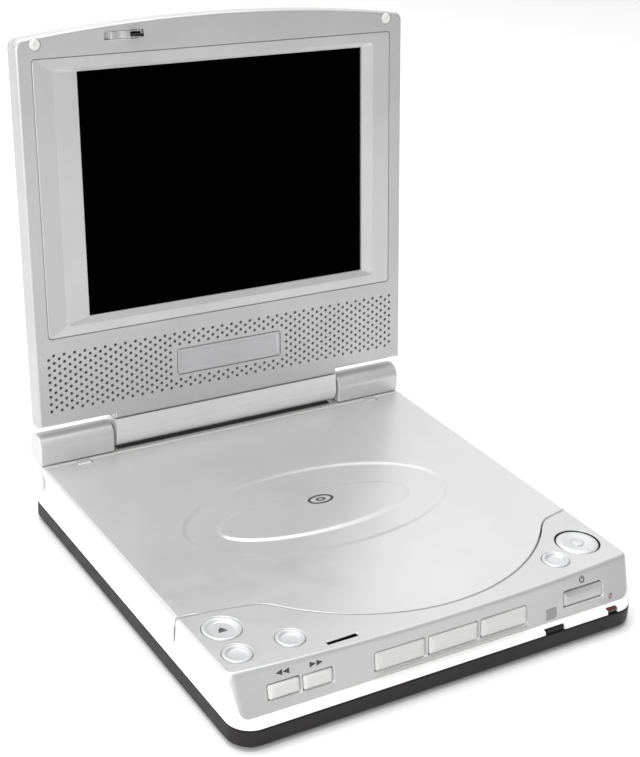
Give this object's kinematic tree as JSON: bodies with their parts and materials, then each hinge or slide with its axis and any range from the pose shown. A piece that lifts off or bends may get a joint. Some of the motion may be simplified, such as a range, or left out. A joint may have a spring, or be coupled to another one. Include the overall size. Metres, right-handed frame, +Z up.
{
  "type": "portable disc player",
  "caption": "Portable disc player: flat base with a hinged disc door over a top-loading drive, deck buttons and front keys, and a fold-down screen on a rear hinge.",
  "frame": {"origin": "middle of the object's footprint, on the surface its feet stand on", "axes": "+X to the right of a viewer facing the screen, +Y from the front keys to the screen, +Z up"},
  "size_m": [0.1529, 0.1752, 0.1765],
  "materials": {
    "casing_white": "satin moulded",
    "screen_silver": "satin silver paint",
    "door_silver": "satin silver paint",
    "key_pearl": "pearl",
    "charcoal": "fine texture",
    "well_black": "fine texture",
    "rubber_black": "matte",
    "rubber_pale": "matte",
    "steel": "satin",
    "circuit_board": "solder mask",
    "lens": "polished",
    "lcd_glass": "polished",
    "backlight": "satin",
    "smoked_window": "polished",
    "lamp_red": "clear",
    "battery_wrap": "shrink wrap",
    "speaker_black": "paper cone and frame"
  },
  "bodies": {
    "base": {"bottom_cover": "charcoal", "upper_casing": "casing_white", "hinge_cover_left": "screen_silver", "hinge_cover_right": "screen_silver", "disc_well_deck": "well_black", "drive_chassis": "steel", "spindle_motor": "steel", "guide_rod_left": "steel", "guide_rod_right": "steel", "sled_motor": "steel", "damper_front": "rubber_black", "damper_rear_left": "rubber_black", "damper_rear_right": "rubber_black", "main_board": "circuit_board", "key_board": "circuit_board", "battery_pack": "battery_wrap", "headphone_jack": "charcoal", "av_jack": "charcoal", "dc_jack": "charcoal", "remote_window": "smoked_window", "power_lamp": "lamp_red", "foot_front_left": "rubber_black", "foot_front_right": "rubber_black", "foot_rear_left": "rubber_black", "foot_rear_right": "rubber_black", "case_screw_front_left": "steel", "case_screw_front_right": "steel", "case_screw_rear_left": "steel", "case_screw_rear_right": "steel"},
    "screen": {"screen_back_shell": "screen_silver", "screen_front_frame": "screen_silver", "lcd_bezel": "screen_silver", "lcd_panel": "lcd_glass", "lcd_backlight": "backlight", "lcd_driver_board": "circuit_board", "speaker_left": "speaker_black", "speaker_right": "speaker_black", "name_plate": "screen_silver", "bumper_left": "rubber_pale", "bumper_right": "rubber_pale", "hinge_shaft_left": "steel", "hinge_shaft_right": "steel"},
    "turntable": {"turntable_hub": "well_black"},
    "pickup": {"pickup_sled": "charcoal", "pickup_lens": "lens"},
    "latch": {"latch_hook": "screen_silver"},
    "lead_screw": {"lead_screw": "steel"},
    "open_button": {"open_button": "key_pearl"},
    "menu_button": {"menu_button": "key_pearl"},
    "display_button": {"display_button": "key_pearl"},
    "mode_button": {"mode_button": "key_pearl"},
    "nav_pad": {"nav_pad": "key_pearl"},
    "previous_key": {"previous_key": "key_pearl"},
    "next_key": {"next_key": "key_pearl"},
    "stop_key": {"stop_key": "key_pearl"},
    "pause_key": {"pause_key": "key_pearl"},
    "play_key": {"play_key": "key_pearl"},
    "power_key": {"power_key": "key_pearl"},
    "volume_wheel": {"volume_wheel": "charcoal"},
    "disc_door": {"disc_door": "door_silver"}
  },
  "joints": [
    {"name": "screen_hinge", "type": "hinge", "parent": "base", "child": "screen", "pos_m": [0, 0.06497, 0.0285], "axis": [-1, 0, 0], "range_deg": [-96.83, 43]},
    {"name": "door_hinge", "type": "hinge", "parent": "base", "child": "disc_door", "pos_m": [0, 0.05757, 0.02156], "axis": [-1, 0, 0], "range_deg": [0, 60]},
    {"name": "turntable_spin", "type": "hinge", "parent": "base", "child": "turntable", "pos_m": [0, -0.00663, 0.017], "axis": [0, 0, 1], "continuous": true},
    {"name": "pickup_slide", "type": "slide", "parent": "base", "child": "pickup", "axis": [0, -1, 0], "range_m": [0, 0.03]},
    {"name": "lead_screw_turn", "type": "hinge", "parent": "base", "child": "lead_screw", "pos_m": [0.0235, -0.07363, 0.0109], "axis": [0, 1, 0], "range_deg": [0, 3600.5]},
    {"name": "open_button_press", "type": "slide", "parent": "base", "child": "open_button", "axis": [0, 0, -1], "range_m": [0, 0.0006], "stiffness_N_per_m": 600, "springref_m": -0.0006},
    {"name": "menu_button_press", "type": "slide", "parent": "base", "child": "menu_button", "axis": [0, 0, -1], "range_m": [0, 0.0006], "stiffness_N_per_m": 600, "springref_m": -0.0006},
    {"name": "display_button_press", "type": "slide", "parent": "base", "child": "display_button", "axis": [0, 0, -1], "range_m": [0, 0.0006], "stiffness_N_per_m": 600, "springref_m": -0.0006},
    {"name": "mode_button_press", "type": "slide", "parent": "base", "child": "mode_button", "axis": [0, 0, -1], "range_m": [0, 0.0006], "stiffness_N_per_m": 600, "springref_m": -0.0006},
    {"name": "nav_pad_tilt", "type": "hinge", "parent": "base", "child": "nav_pad", "pos_m": [0.0653, -0.06563, 0.0194], "axis": [0, 1, 0], "range_deg": [-2, 2], "stiffness_Nm_per_rad": 0.05},
    {"name": "previous_key_press", "type": "slide", "parent": "base", "child": "previous_key", "axis": [0, 0.9532, -0.3024], "range_m": [0, 0.0005], "stiffness_N_per_m": 600, "springref_m": -0.0006},
    {"name": "next_key_press", "type": "slide", "parent": "base", "child": "next_key", "axis": [0, 0.9687, -0.2482], "range_m": [0, 0.0005], "stiffness_N_per_m": 600, "springref_m": -0.0006},
    {"name": "stop_key_press", "type": "slide", "parent": "base", "child": "stop_key", "axis": [0, 0.9874, -0.1583], "range_m": [0, 0.0005], "stiffness_N_per_m": 600, "springref_m": -0.0006},
    {"name": "pause_key_press", "type": "slide", "parent": "base", "child": "pause_key", "axis": [0, 0.9899, -0.1419], "range_m": [0, 0.0005], "stiffness_N_per_m": 600, "springref_m": -0.0006},
    {"name": "play_key_press", "type": "slide", "parent": "base", "child": "play_key", "axis": [0, 0.9864, -0.1641], "range_m": [0, 0.0005], "stiffness_N_per_m": 600, "springref_m": -0.0006},
    {"name": "power_key_press", "type": "slide", "parent": "base", "child": "power_key", "axis": [0, 0.9593, -0.2824], "range_m": [0, 0.0005], "stiffness_N_per_m": 600, "springref_m": -0.0006},
    {"name": "volume_wheel_turn", "type": "hinge", "parent": "base", "child": "volume_wheel", "pos_m": [0.0696, -0.06363, 0.0125], "axis": [0, 0, 1], "range_deg": [-140, 140]},
    {"name": "latch_slide", "type": "slide", "parent": "screen", "child": "latch", "axis": [-1, 0, 0], "range_m": [0, 0.002], "stiffness_N_per_m": 400, "springref_m": -0.001}
  ],
  "couplings": [
    {"joint": "lead_screw_turn", "follows": "pickup_slide", "rad_per_m": 2094.4}
  ]
}
